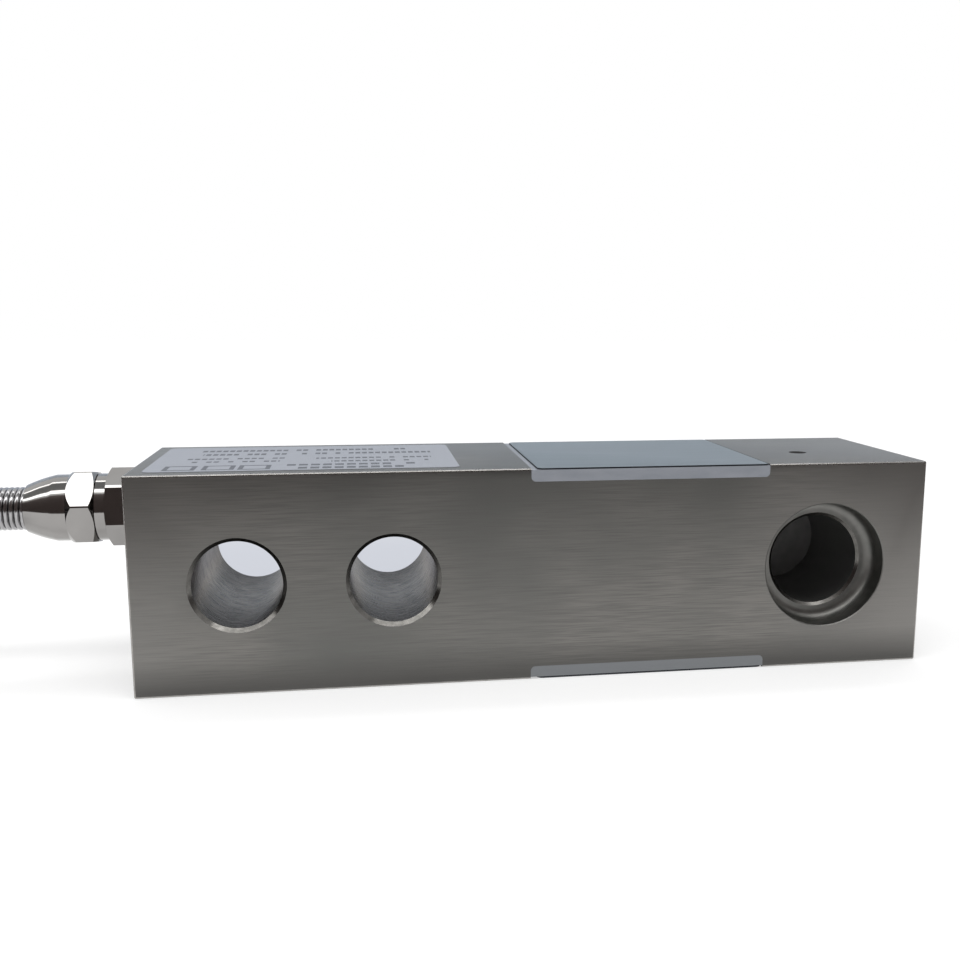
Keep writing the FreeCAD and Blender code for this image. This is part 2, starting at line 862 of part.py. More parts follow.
def racetrack(radius, near, far):
    """An oval of a radius round two centres on the X axis, as quarter arcs and straight sides."""
    return [
        (near, f"-{radius}", near, "0"),
        (f"{near} + {radius}", "0", near, "0"),
        (near, radius),
        (far, radius, far, "0"),
        (f"{far} - {radius}", "0", far, "0"),
        (far, f"-{radius}"),
    ]


near_centre = f"({cable_end} - {guard_end} - hank_gap)"
far_centre = f"({near_centre} - hank_run)"
inner_edge = "(hank_inner_radius - cable_diameter / 2)"
hank = new_body("cable_hank", z=hank_bottom)
ring_sketch = new_sketch(hank, "XY_Plane")
draw_outline(ring_sketch, racetrack(outer_edge, near_centre, far_centre))
draw_outline(ring_sketch, racetrack(inner_edge, near_centre, far_centre))
extrude(hank, "Pad", ring_sketch, "hank_full_layers * cable_diameter")
doc.recompute()
inner_rim = f"({inner_edge} + cable_diameter)"
hank_front = f"({cable_end} - {guard_end} - hank_start)"
last_sketch = new_sketch(hank, "XY_Plane", z="hank_full_layers * cable_diameter")
draw_outline(
    last_sketch,
    [
        (hank_front, f"-{inner_rim}"),
        (hank_front, f"-{inner_edge}"),
        (far_centre, f"-{inner_edge}", far_centre, "0"),
        (f"{far_centre} - {inner_edge}", "0", far_centre, "0"),
        (far_centre, inner_edge),
        (near_centre, inner_edge),
        (near_centre, inner_rim),
        (far_centre, inner_rim, far_centre, "0"),
        (f"{far_centre} - {inner_rim}", "0", far_centre, "0"),
        (far_centre, f"-{inner_rim}"),
    ],
)
extrude(hank, "Pad", last_sketch, "cable_diameter")
doc.recompute()

# The last turn stops short on the outer column's top, and the bare cores lie on in its place
end_x = f"({near_centre} - end_setback)"
bed_height = "(tie_thickness + (hank_full_layers - 1) * cable_diameter)"
notch_sketch = new_sketch(hank, "XY_Plane", z=f"{bed_height} - tie_thickness")
draw_outline(
    notch_sketch,
    [
        (end_x, inner_rim),
        (near_centre, inner_rim),
        (near_centre, outer_edge),
        (end_x, outer_edge),
    ],
)
extrude(hank, "Pocket", notch_sketch, "cable_diameter", back=True)
doc.recompute()


def new_core(label, diameter, across, up):
    """A core along the hank, from the end of the sheath, placed sideways and up from its bed's middle."""
    middle = (end_x, f"{outer_radius} + {across}", f"{bed_height} + {up}")
    pieces.append(along_x(label, diameter, "core_length", *middle))


lane = "(core_diameter + core_gap)"
upper_row = f"(core_diameter / 2 + {lane} * sqrt(3) / 2)"
new_core("black_core", "core_diameter", f"-{lane}", "core_diameter / 2")
new_core("red_core", "core_diameter", "0", "core_diameter / 2")
new_core("green_core", "core_diameter", lane, "core_diameter / 2")
new_core("white_core", "core_diameter", f"-{lane} / 2", upper_row)
new_core("drain_wire", "drain_diameter", f"{lane} / 2", upper_row)


# Ties: a strap round each side of the hank, slanted from the inner column's top to the outer one's


def new_tie(label, side):
    """A closed strap round one side's turns, side being -1 at the front and 1 at the back."""
    tie = new_body(label, x=f"({near_centre} + {far_centre}) / 2")
    sketch = new_sketch(tie, "YZ_Plane")
    shoulder = f"{hank_bottom} + hank_full_layers * cable_diameter"
    crown = f"{shoulder} + cable_diameter"
    slant = "tie_thickness * (sqrt(2) - 1)"
    draw_outline(
        sketch,
        [
            (f"{side} * {inner_edge}", hank_bottom),
            (f"{side} * {outer_edge}", hank_bottom),
            (f"{side} * {outer_edge}", shoulder),
            (f"{side} * {inner_rim}", crown),
            (f"{side} * {inner_edge}", crown),
        ],
    )
    inside, outside = f"{side} * ({inner_edge} - tie_thickness)", f"{side} * ({outer_edge} + tie_thickness)"
    draw_outline(
        sketch,
        [
            (inside, "0"),
            (outside, "0"),
            (outside, f"{shoulder} + {slant}"),
            (f"{side} * ({inner_rim} + {slant})", f"{crown} + tie_thickness"),
            (inside, f"{crown} + tie_thickness"),
        ],
    )
    extrude(tie, "Pad", sketch, "tie_width", side="Symmetric")


new_tie("front_tie", -1)
new_tie("rear_tie", 1)

doc.recompute()
for feature in doc.Objects:
    if {"Invalid", "Error"} & set(feature.State):
        raise RuntimeError(f"{feature.Label} failed: {feature.State}")
for piece in pieces:
    if piece.Shape.isNull() or not piece.Shape.isValid() or piece.Shape.Volume <= 0:
        raise RuntimeError(f"{piece.Label} has no valid solid")

os.makedirs("parts", exist_ok=True)
for piece in pieces:
    piece.Shape.exportStep(f"parts/{piece.Label}.step")
    print(piece.Label, f"{piece.Shape.Volume:.2f} mm3", len(piece.Shape.Solids), "solid")
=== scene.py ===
import json
import math

import bmesh
import bpy
from mathutils import Euler, Matrix, Vector


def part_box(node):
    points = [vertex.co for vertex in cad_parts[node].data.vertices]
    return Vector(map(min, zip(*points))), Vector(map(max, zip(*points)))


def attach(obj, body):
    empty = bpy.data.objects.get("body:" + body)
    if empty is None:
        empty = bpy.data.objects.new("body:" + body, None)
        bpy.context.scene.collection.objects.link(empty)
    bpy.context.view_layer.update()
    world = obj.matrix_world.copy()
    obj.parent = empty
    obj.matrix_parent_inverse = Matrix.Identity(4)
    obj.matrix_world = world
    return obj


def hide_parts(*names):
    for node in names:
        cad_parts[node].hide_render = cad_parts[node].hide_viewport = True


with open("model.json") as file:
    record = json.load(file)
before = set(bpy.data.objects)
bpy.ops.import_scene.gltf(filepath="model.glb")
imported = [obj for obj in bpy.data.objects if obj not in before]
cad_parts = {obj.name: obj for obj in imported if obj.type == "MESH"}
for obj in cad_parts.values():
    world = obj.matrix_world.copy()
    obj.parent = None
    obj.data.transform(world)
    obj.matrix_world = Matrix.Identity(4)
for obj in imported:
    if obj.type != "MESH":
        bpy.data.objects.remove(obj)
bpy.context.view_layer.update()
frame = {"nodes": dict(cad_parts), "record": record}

# Beam
# The spring element is one block of steel, milled square, ground lengthwise and bored from the side faces.
# Its outer edges are broken by a small chamfer, and painted shade darkens its lowest few millimetres.
# The two mounting holes go right through.

MM = 0.001
same_place = 0.001 * MM
edge_break = 0.3 * MM
mouth_chamfer = 0.65 * MM
cone_reach = 2 * MM
mounts = {mount["name"]: mount for mount in frame["record"]["mounts"]}
beam_low, beam_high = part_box("beam")
beam_middle = (beam_low + beam_high) / 2
half_width = (beam_high.y - beam_low.y) / 2
towards_front = Vector((0, -1, 0))
painted_light_middle = -8 * MM
painted_light_ends = (40 * MM, 80 * MM)
painted_foot_shade = (1 * MM, 6.5 * MM)
wall_shade = (2 * MM, 17 * MM)
wall_shade_share = 0.75
bore_shade = (-14 * MM, 2 * MM)


def tone(red, green, blue):
    """A colour given as display values from 0 to 255, turned to the linear light that a shader takes."""
    return tuple(((value / 255 + 0.055) / 1.055) ** 2.4 for value in (red, green, blue)) + (1,)


class Link:
    """A socket in a finish's nodes. Arithmetic on it adds Math nodes, and node() adds a node of any kind."""

    def __init__(self, tree, socket):
        self.tree = tree
        self.socket = socket

    def node(self, kind, settings=None, inputs=None, output=0):
        """Adds a node with its settings, fills its sockets from values or links, and gives one output."""
        made = self.tree.nodes.new(kind)
        for name, value in (settings or {}).items():
            setattr(made, name, value)
        for name, value in (inputs or {}).items():
            if isinstance(value, Link):
                self.tree.links.new(value.socket, made.inputs[name])
            else:
                made.inputs[name].default_value = value
        return Link(self.tree, made.outputs[output])

    def math(self, operation, first, second=0.0):
        """Adds a Math node and gives its result."""
        return self.node("ShaderNodeMath", {"operation": operation}, {0: first, 1: second})

    def __add__(self, other):
        return self.math("ADD", self, other)

    def __sub__(self, other):
        return self.math("SUBTRACT", self, other)

    def __rsub__(self, other):
        return self.math("SUBTRACT", other, self)

    def __mul__(self, other):
        return self.math("MULTIPLY", self, other)

    __radd__ = __add__
    __rmul__ = __mul__

    def __truediv__(self, other):
        return self.math("DIVIDE", self, other)

    def __gt__(self, other):
        return self.math("GREATER_THAN", self, other)

    def __lt__(self, other):
        return self.math("LESS_THAN", self, other)

    def __abs__(self):
        return self.math("ABSOLUTE", self)

    def axis(self, name):
        """One coordinate of a place: X, Y or Z."""
        return self.node("ShaderNodeSeparateXYZ", {}, {"Vector": self}, output=name)

    def blend(self, first, second):
        """Mixes two colours by this value."""
        return self.node("ShaderNodeMix", {"data_type": "RGBA"}, {0: self, 6: first, 7: second}, output=2)

    def spread(self, low, high):
        """Stretches the part of this value between two limits to run from 0 to 1."""
        return self.node("ShaderNodeMapRange", {}, {"Value": self, "From Min": low, "From Max": high})

    def noise(self, scale, detail=2.0):
        """Cloudy noise at this place, with a scale of features per metre along each axis."""
        stretched = self.node("ShaderNodeMapping", {}, {"Vector": self, "Scale": scale})
        return self.node("ShaderNodeTexNoise", {}, {"Vector": stretched, "Scale": 1.0, "Detail": detail})

    def feed(self, shader, name):
        """Links this value to a socket of a shader."""
        self.tree.links.new(self.socket, shader.inputs[name])

    def bump(self, shader, height):
        """Raises the surface by this value times a height in metres."""
        relief = self.node("ShaderNodeBump", {}, {"Height": self, "Distance": height})
        relief.feed(shader, "Normal")


def new_finish(name, constants):
    """A finish with its constant values set: its material, its shader and the place on the piece."""
    material = bpy.data.materials.new(name)
    material.use_nodes = True
    tree = material.node_tree
    shader = tree.nodes["Principled BSDF"]
    for socket, value in constants.items():
        shader.inputs[socket].default_value = value
    place = Link(tree, tree.nodes.new("ShaderNodeTexCoord").outputs["Object"])
    return material, shader, place


def turned(name, stations, foot, direction, sides=96):
    """A solid turned on a lathe: a disc drawn out along its axis through (distance, radius) stations."""
    bpy.ops.object.select_all(action="DESELECT")
    distance, radius = stations[0]
    bpy.ops.mesh.primitive_circle_add(
        vertices=sides,
        radius=radius,
        fill_type="NGON",
        location=foot + direction * distance,
        rotation=direction.to_track_quat("Z", "Y").to_euler(),
    )
    piece = bpy.context.object
    piece.name = name
    bpy.ops.object.mode_set(mode="EDIT")
    bpy.ops.mesh.select_all(action="SELECT")
    for (start, before), (end, after) in zip(stations, stations[1:]):
        bpy.ops.mesh.extrude_region_move(TRANSFORM_OT_translate={"value": direction * (end - start)})
        bpy.ops.transform.resize(value=(after / before,) * 3, center_override=foot + direction * end)
    bpy.ops.mesh.select_all(action="SELECT")
    bpy.ops.mesh.remove_doubles(threshold=same_place)
    bpy.ops.mesh.normals_make_consistent(inside=False)
    bpy.ops.object.mode_set(mode="OBJECT")
    bpy.ops.object.transform_apply(location=True, rotation=True, scale=True)
    return piece


def new_box(name, low, high):
    """A box between two corners, with its place in its mesh."""
    bpy.ops.object.select_all(action="DESELECT")
    bpy.ops.mesh.primitive_cube_add(size=1, location=(low + high) / 2)
    piece = bpy.context.object
    piece.name = name
    piece.scale = high - low
    bpy.ops.object.transform_apply(location=True, rotation=True, scale=True)
    return piece


def round_edges(piece, chosen, radius, steps, finish=-1):
    """Bevels the edges whose two ends pass a test, in so many steps, with a finish slot for the new faces."""
    bpy.context.view_layer.objects.active = piece
    bpy.ops.object.mode_set(mode="EDIT")
    bpy.ops.mesh.select_mode(type="EDGE")
    bpy.ops.mesh.select_all(action="DESELECT")
    shape = bmesh.from_edit_mesh(piece.data)
    for edge in shape.edges:
        edge.select_set(chosen(edge.verts[0].co, edge.verts[1].co))
    bmesh.update_edit_mesh(piece.data)
    bpy.ops.mesh.bevel(offset=radius, segments=steps, affect="EDGES", material=finish)
    bpy.ops.object.mode_set(mode="OBJECT")


def combine(piece, tool, operation):
    """Cuts, adds or intersects another solid, which is then removed."""
    step = piece.modifiers.new("Combine", "BOOLEAN")
    step.operation = operation
    step.object = tool
    step.solver = "EXACT"
    step.material_mode = "TRANSFER"
    bpy.context.view_layer.objects.active = piece
    bpy.ops.object.modifier_apply(modifier=step.name)
    bpy.data.objects.remove(tool)


def coat(piece, finish):
    """Gives a piece one finish all over."""
    piece.data.materials.clear()
    piece.data.materials.append(finish)


def paint(piece, finishes, choose):
    """Gives a piece several finishes, with a rule that picks the number of the finish at a face's middle."""
    for finish in finishes:
        piece.data.materials.append(finish)
    for face in piece.data.polygons:
        face.material_index = choose(face.center)


def smooth(piece, degrees):
    """Shades smooth across edges that turn by less than an angle."""
    bpy.ops.object.select_all(action="DESELECT")
    piece.select_set(True)
    bpy.context.view_layer.objects.active = piece
    bpy.ops.object.shade_smooth_by_angle(angle=math.radians(degrees))


def install(piece, slot, *replaced):
    """Fixes a finished piece to the object, in place of its plain solids."""
    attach(piece, "root")
    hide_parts(*replaced)


ground_steel, shader, place = new_finish("ground_steel", {"Metallic": 1.0})
grain = place.noise((150, 5200, 5200), 3.0)
patches = place.noise((38, 38, 38), 2.0)
scratches = place.noise((120, 9000, 9000), 1.0).spread(0.64, 0.72)
steel_tone = patches.spread(0.3, 0.7).blend(tone(115, 116, 113), tone(140, 138, 134))
steel_tone = grain.spread(0.4, 0.75).blend(steel_tone, tone(116, 115, 113))
# Painted reflection: the steel's tone is lighter towards both ends of the beam.
towards_ends = abs(place.axis("X") - painted_light_middle).spread(*painted_light_ends)
steel_tone = towards_ends.blend(steel_tone, tone(139, 137, 134))
# Painted shade: the steel is darker along its lowest few millimetres, by the floor.
above_foot = place.axis("Z").spread(*painted_foot_shade)
above_foot.blend(tone(97, 96, 94), steel_tone).feed(shader, "Base Color")
(0.38 + patches * 0.08 + grain * 0.05).feed(shader, "Roughness")
(grain + scratches * 0.4).bump(shader, 0.002 * MM)

bright_edge, shader, place = new_finish("bright_edge", {"Metallic": 1.0})
nicks = place.noise((700, 700, 700), 3.0)
nicks.spread(0.35, 0.75).blend(tone(168, 166, 163), tone(150, 148, 145)).feed(shader, "Base Color")
(0.22 + nicks * 0.1).feed(shader, "Roughness")
nicks.bump(shader, 0.002 * MM)

mouth_cut, shader, place = new_finish("mouth_cut", {"Metallic": 1.0})
chatter = place.noise((900, 900, 900), 3.0)
chatter.spread(0.35, 0.7).blend(tone(109, 107, 104), tone(92, 91, 88)).feed(shader, "Base Color")
(0.14 + chatter * 0.14).feed(shader, "Roughness")
chatter.bump(shader, 0.006 * MM)

dulled = (0.69, 0.67, 0.65, 1)
bored_wall, shader, place = new_finish("bored_wall", {"Metallic": 1.0, "Specular Tint": dulled})
rings = place.noise((330, 2100, 330), 5.0)
blotches = place.noise((420, 700, 420), 4.0)
wall_marks = (rings * 0.65 + blotches * 0.35).spread(0.4, 0.6)
wall_tone = wall_marks.blend(tone(100, 99, 98), tone(158, 154, 150))
# Painted shade: the bored walls are darker towards both mouths, lighter in the middle.
by_mouth = abs(place.axis("Y")).spread(*wall_shade)
(by_mouth * wall_shade_share).blend(wall_tone, tone(55, 53, 52)).feed(shader, "Base Color")
(0.17 + rings * 0.22).feed(shader, "Roughness")
(rings + blotches * 0.4).bump(shader, 0.05 * MM)

dark_bore, shader, place = new_finish("dark_bore", {"Metallic": 0.6})
soot = place.noise((500, 1400, 500), 2.0)
soot_tone = soot.spread(0.3, 0.7).blend(tone(112, 112, 111), tone(126, 125, 124))
# Painted shade: the bore is darker towards the front face and lighter further in.
inwards = place.axis("Y").spread(*bore_shade)
inwards.blend(tone(76, 76, 75), soot_tone).feed(shader, "Base Color")
(0.45 + soot * 0.2).feed(shader, "Roughness")

beam = new_box("milled_beam", beam_low, beam_high)
paint(beam, (ground_steel, bright_edge), lambda spot: 0)
round_edges(beam, lambda first, second: True, edge_break, steps=4, finish=1)

for name in ("mount_bore_outer", "mount_bore_inner"):
    mount = mounts[name]
    radius = mount["dims"]["r_mm"] * MM
    mouth = radius + mouth_chamfer
    middle = Vector(mount["pos_m"])
    drill = turned(
        "drill",
        [
            (-half_width - cone_reach, mouth + cone_reach),
            (mouth_chamfer - half_width, radius),
            (half_width - mouth_chamfer, radius),
            (half_width + cone_reach, mouth + cone_reach),
        ],
        middle,
        towards_front,
    )
    straight_half = half_width - mouth_chamfer
    paint(drill, (bored_wall, mouth_cut), lambda spot: abs(spot.y - middle.y) > straight_half)
    combine(beam, drill, "DIFFERENCE")

# Load hole
# A counterbore, rounded from its wall to the lip of the bore, takes the shoulder of the loading foot.
# The blind bore in its floor is left dark, with painted shade towards its mouth.

seat_break = 0.15 * MM
seat_depth = 4.7 * MM
seat_fillet = 1.8 * MM
lip_width = 0.5 * MM
lip_depth = 0.42 * MM
load_depth = 25.0 * MM
fillet_steps = 12
hair = 0.01 * MM
seat_radius = mounts["load_seat"]["dims"]["r_mm"] * MM
load_radius = mounts["load_bore"]["dims"]["r_mm"] * MM
load_mouth = Vector((mounts["load_bore"]["pos_m"][0], beam_low.y, beam_middle.z))
into_beam = Vector((0, 1, 0))

turned_seat, shader, place = new_finish("turned_seat", {"Metallic": 1.0})
lathe_marks = place.noise((500, 500, 500), 2.0)
lathe_marks.spread(0.3, 0.7).blend(tone(114, 114, 111), tone(128, 127, 124)).feed(shader, "Base Color")
(0.4 + lathe_marks * 0.1).feed(shader, "Roughness")
lathe_marks.bump(shader, 0.004 * MM)

seat_stations = [(-cone_reach, seat_radius + seat_break + cone_reach), (seat_break, seat_radius)]
for step in range(fillet_steps + 1):
    angle = math.radians(90) * step / fillet_steps
    seat_stations.append(
        (
            seat_depth - seat_fillet * (1 - math.sin(angle)),
            seat_radius - seat_fillet * (1 - math.cos(angle)),
        )
    )
seat_stations += [
    (seat_depth, load_radius + lip_width),
    (seat_depth + lip_depth, load_radius),
    (load_depth, load_radius),
]
lip_start = load_mouth.y + seat_depth + hair
bore_start = load_mouth.y + seat_depth + lip_depth
load_cutter = turned("load_cutter", seat_stations, load_mouth, into_beam, sides=128)
paint(
    load_cutter,
    (turned_seat, mouth_cut, dark_bore),
    lambda spot: (spot.y > lip_start) + (spot.y > bore_start),
)
combine(beam, load_cutter, "DIFFERENCE")

# Earth hole
# A small tapped hole in the top face takes the screw of an earth strap.
# It is blind, and its thread is too fine to show.

overrun = 1 * MM
downwards = Vector((0, 0, -1))
earth = mounts["earth_hole"]
earth_radius = earth["dims"]["r_mm"] * MM
earth_mouth = Vector((earth["pos_m"][0], earth["pos_m"][1], beam_high.z))
earth_tap = turned(
    "earth_tap",
    [(-overrun, earth_radius), (earth["dims"]["length_mm"] * MM, earth_radius)],
    earth_mouth,
    downwards,
    sides=48,
)
coat(earth_tap, dark_bore)
combine(beam, earth_tap, "DIFFERENCE")

# Cover recesses
# A shallow recess is milled straight across the top face and another across the bottom.
# The cutter leaves their inner corners round.

recess_corner = 0.8 * MM


def across_beam_at(level):
    """A test for the edges that run across the beam at one level."""

    def test(first, second):
        at_level = max(abs(first.z - level), abs(second.z - level)) < same_place
        return at_level and abs(first.y - second.y) > same_place

    return test


for bed_name, outward in (("top_sealing_bed", 1), ("bottom_sealing_bed", -1)):
    low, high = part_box(bed_name)
    recess_floor = low.z if outward > 0 else high.z
    recess_low = Vector((low.x, low.y - overrun, low.z - (overrun if outward < 0 else 0)))
    recess_high = Vector((high.x, high.y + overrun, high.z + (overrun if outward > 0 else 0)))
    recess = new_box("recess", recess_low, recess_high)
    coat(recess, ground_steel)
    round_edges(recess, across_beam_at(recess_floor), recess_corner, steps=4)
    combine(beam, recess, "DIFFERENCE")

# Gauge pockets
# Under each recess a milled pocket leaves a thin web between the two, which the load shears.
# A drilled channel leads from the upper pocket to the tapped hole for the cable gland.

pocket_length = 30.0 * MM
pocket_width = 24.0 * MM
pocket_corner = 5.0 * MM
web_thickness = 5.0 * MM
short_of_face = 1 * MM
tap_radius = 4.0 * MM
tap_depth = 7.0 * MM
channel_radius = 1.7 * MM
along_beam = Vector((1, 0, 0))
nut_low, nut_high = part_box("gland_nut")
gland_height = (nut_low.z + nut_high.z) / 2
gland_foot = Vector((beam_low.x, 0, gland_height))
bed_low, bed_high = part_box("top_sealing_bed")
recess_middle = (bed_low.x + bed_high.x) / 2


def upright(first, second):
    """Whether an edge stands upright."""
    return abs(first.z - second.z) > same_place


for outward in (1, -1):
    web_face = beam_middle.z + outward * web_thickness / 2
    past_floor = beam_middle.z + outward * (beam_high.z - beam_middle.z - short_of_face)
    pocket = new_box(
        "pocket",
        Vector((recess_middle - pocket_length / 2, -pocket_width / 2, min(web_face, past_floor))),
        Vector((recess_middle + pocket_length / 2, pocket_width / 2, max(web_face, past_floor))),
    )
    coat(pocket, ground_steel)
    round_edges(pocket, upright, pocket_corner, steps=6)
    combine(beam, pocket, "DIFFERENCE")
channel_end = recess_middle - pocket_length / 2 + pocket_corner - beam_low.x
channel = turned(
    "channel",
    [
        (-overrun, tap_radius),
        (tap_depth, tap_radius),
        (tap_depth, channel_radius),
        (channel_end, channel_radius),
    ],
    gland_foot,
    along_beam,
    sides=48,
)
coat(channel, bored_wall)
combine(beam, channel, "DIFFERENCE")
smooth(beam, degrees=20)
install(beam, "beam_steel", "beam")

# Gauges and converter
# Foil gauges are bonded to both faces of the web, and a small board over them turns their signal to data.
# They are sealed in, so their finishes are simple ones.

nodes = frame["nodes"]
moulded_grain = (1500, 1500, 1500)


def dress(finish, *names):
    """Gives a finish to solids that are shown as they are."""
    for name in names:
        coat(nodes[name], finish)


def new_moulded(name, main, speck, roughness, metallic=0.0):
    """A fine-grained finish between two near colours, for small moulded and stamped pieces."""
    finish, surface, spot = new_finish(name, {"Metallic": metallic})
    texture = spot.noise(moulded_grain, 3.0)
    texture.spread(0.3, 0.7).blend(main, speck).feed(surface, "Base Color")
    (roughness + texture * 0.15).feed(surface, "Roughness")
    texture.bump(surface, 0.02 * MM)
    return finish


dress(new_moulded("gauge_film", tone(176, 118, 42), tone(196, 140, 60), 0.35), "upper_gauge", "lower_gauge")
dress(
    new_moulded("solder_mask", tone(24, 92, 52), tone(34, 110, 62), 0.3),
    "converter_board",
    "lower_terminal_strip",
)
dress(
    new_moulded("pale_moulding", tone(214, 211, 200), tone(226, 223, 214), 0.5),
    "board_spacers",
    "cable_terminal",
)
dress(
    new_moulded("chip_resin", tone(26, 26, 28), tone(38, 38, 40), 0.45),
    "converter_chip",
    "processor_chip",
    "bus_chip",
)
dress(
    new_moulded("crystal_can", tone(190, 190, 192), tone(206, 206, 208), 0.2, metallic=1.0),
    "clock_crystal",
)
dress(
    new_moulded("lead_enamel", tone(176, 66, 40), tone(190, 80, 52), 0.35),
    "upper_gauge_leads",
    "lower_gauge_leads",
)
dress(new_moulded("bundle_wrap", tone(196, 196, 196), tone(212, 212, 212), 0.45), "core_bundle")

# Sealing beds
# A pale two-part compound is poured into each recess and levelled with the side faces, where it is a band.
# It shrinks a little as it sets, so that it lies below the cover plate's edge.

bed_sinks = {"top": 0.25 * MM, "bottom": 0.36 * MM}
plate_corner = 1.1 * MM
left_gap = Vector((0.4, 0, 0)) * MM
right_reach = Vector((0.65, 0, 0)) * MM

sealing_compound, shader, place = new_finish("sealing_compound", {"Specular IOR Level": 0.5})
ripples = place.noise((160, 160, 500), 2.0)
compound_tone = ripples.spread(0.3, 0.7).blend(tone(124, 128, 135), tone(133, 136, 143))
# Painted shade: the compound in the bottom bed is darker than in the top one.
on_top = place.axis("Z") > beam_middle.z
on_top.blend(tone(117, 120, 123), compound_tone).feed(shader, "Base Color")
(0.28 + ripples * 0.12).feed(shader, "Roughness")
ripples.bump(shader, 0.05 * MM)
for side, outward in (("top", 1), ("bottom", -1)):
    low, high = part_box(f"{side}_sealing_bed")
    sunk = Vector((0, 0, bed_sinks[side]))
    bed = new_box(f"poured_{side}_bed", low + sunk * (outward < 0), high - sunk * (outward > 0))
    coat(bed, sealing_compound)
    recess_floor = low.z if outward > 0 else high.z
    round_edges(bed, across_beam_at(recess_floor), recess_corner, steps=4)
    low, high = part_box(f"{side}_cover_plate")
    hollow = new_box("hollow", low + left_gap, high + right_reach)
    coat(hollow, sealing_compound)
    round_edges(hollow, upright, plate_corner, steps=5)
    combine(bed, hollow, "DIFFERENCE")
    smooth(bed, degrees=30)
    install(bed, "sealing_compound", f"{side}_sealing_bed")

# Cover plates
# A thin satin sheet with rounded corners is pressed into each bed while the compound is soft.
# It comes level with the face of the beam, and its cut edge is coloured with painted shadow, a dark line
# above the band.

plate_edge = 0.08 * MM

satin_sheet, shader, place = new_finish("satin_sheet", {"Metallic": 1.0})
rolling = place.noise((50, 2600, 2600), 2.0)
clouds = place.noise((45, 45, 45), 3.0)
sheet_tone = clouds.spread(0.3, 0.7).blend(tone(136, 146, 151), tone(145, 153, 158))
rolling.spread(0.4, 0.75).blend(sheet_tone, tone(134, 143, 148)).feed(shader, "Base Color")
(0.38 + rolling * 0.05 + clouds * 0.06).feed(shader, "Roughness")
rolling.bump(shader, 0.003 * MM)

# Painted shadow: the cut edge of each plate is dark grey, for the shade in the gap along it.
painted_shadow_edge, shader, place = new_finish("painted_shadow_edge", {"Metallic": 1.0})
painted_shadow_mottle = place.noise((300, 300, 2500), 2.0)
painted_shadow_mottle.spread(0.3, 0.7).blend(tone(50, 52, 56), tone(66, 68, 72)).feed(shader, "Base Color")
(0.4 + painted_shadow_mottle * 0.2).feed(shader, "Roughness")

for side in ("top", "bottom"):
    low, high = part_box(f"{side}_cover_plate")
    plate = new_box(f"pressed_{side}_plate", low + left_gap, high + right_reach)
    round_edges(plate, upright, plate_corner, steps=5)
    round_edges(plate, lambda first, second: not upright(first, second), plate_edge, steps=2)
    mid_sheet = (low.z + high.z) / 2
    edge_half = (high.z - low.z) / 2 - hair
    paint(plate, (satin_sheet, painted_shadow_edge), lambda spot: abs(spot.z - mid_sheet) < edge_half)
    smooth(plate, degrees=40)
    install(plate, "cover_plate", f"{side}_cover_plate")

# Label
# A silver sticker of thin printed foil on the top face, near the cable, with its front edge just behind the
# edge of the beam. It has rows of plain dark bars and three outlined squares, and nothing to read.

# Each row of bars has its middle, its height, its two ends and the step between its bars, in millimetres.
bar_rows = [
    (10.0, 2.2, -59.8, -21.4, 1.2),
    (5.0, 2.2, -59.0, -18.4, 1.2),
    (-0.6, 1.6, -61.7, -44.1, 1.2),
    (-1.6, 1.6, -38.9, -18.7, 1.2),
    (-4.4, 1.6, -59.7, -45.0, 1.2),
    (-5.6, 1.6, -36.2, -19.4, 1.2),
    (-9.6, 2.0, -43.6, -20.0, 2.0),
    (-13.2, 2.2, -43.0, -21.3, 2.0),
]
square_middles = (-60.6 * MM, -54.4 * MM, -48.6 * MM)
square_row = -11.6 * MM
square_half = 2.6 * MM
square_line = 0.8 * MM
bar_gap = 0.26
bars_left_out = 0.14
bars_in_row = 100

label_foil, shader, place = new_finish("label_foil", {"Metallic": 0.2})
along = place.axis("X")
across = place.axis("Y")


def bars(row, middle, height, start, end, cell):
    """A row of plain bars, given in millimetres, with some of them left out."""
    count = along / (cell * MM)
    number = place.math("FLOOR", count) + bars_in_row * row
    chance = place.node("ShaderNodeTexWhiteNoise", {"noise_dimensions": "1D"}, {"W": number})
    drawn = (place.math("FRACT", count) > bar_gap) * (chance > bars_left_out)
    within = (along > start * MM) * (along < end * MM)
    return (abs(across - middle * MM) < height * MM / 2) * within * drawn


ink = bars(0, *bar_rows[0])
for row, sizes in enumerate(bar_rows[1:], start=1):
    ink = ink + bars(row, *sizes)
for middle in square_middles:
    reach = place.math("MAXIMUM", abs(along - middle), abs(across - square_row))
    ink = ink + (reach < square_half) * (reach > square_half - square_line)
foil_grain = place.noise((240, 2600, 2600), 2.0)
foil_tone = foil_grain.spread(0.3, 0.7).blend(tone(150, 153, 161), tone(159, 162, 169))
ink.blend(foil_tone, tone(86, 88, 94)).feed(shader, "Base Color")
(0.4 + foil_grain * 0.1).feed(shader, "Roughness")
foil_grain.bump(shader, 0.004 * MM)
dress(label_foil, "rating_label")

# Gland
# Nickel-plated brass: a hexagon body with a round collar screws into the beam on a rubber gasket.
# A nut with a tapered dome screws over it, squeezes a rubber seal round the cable and clamps the guard.

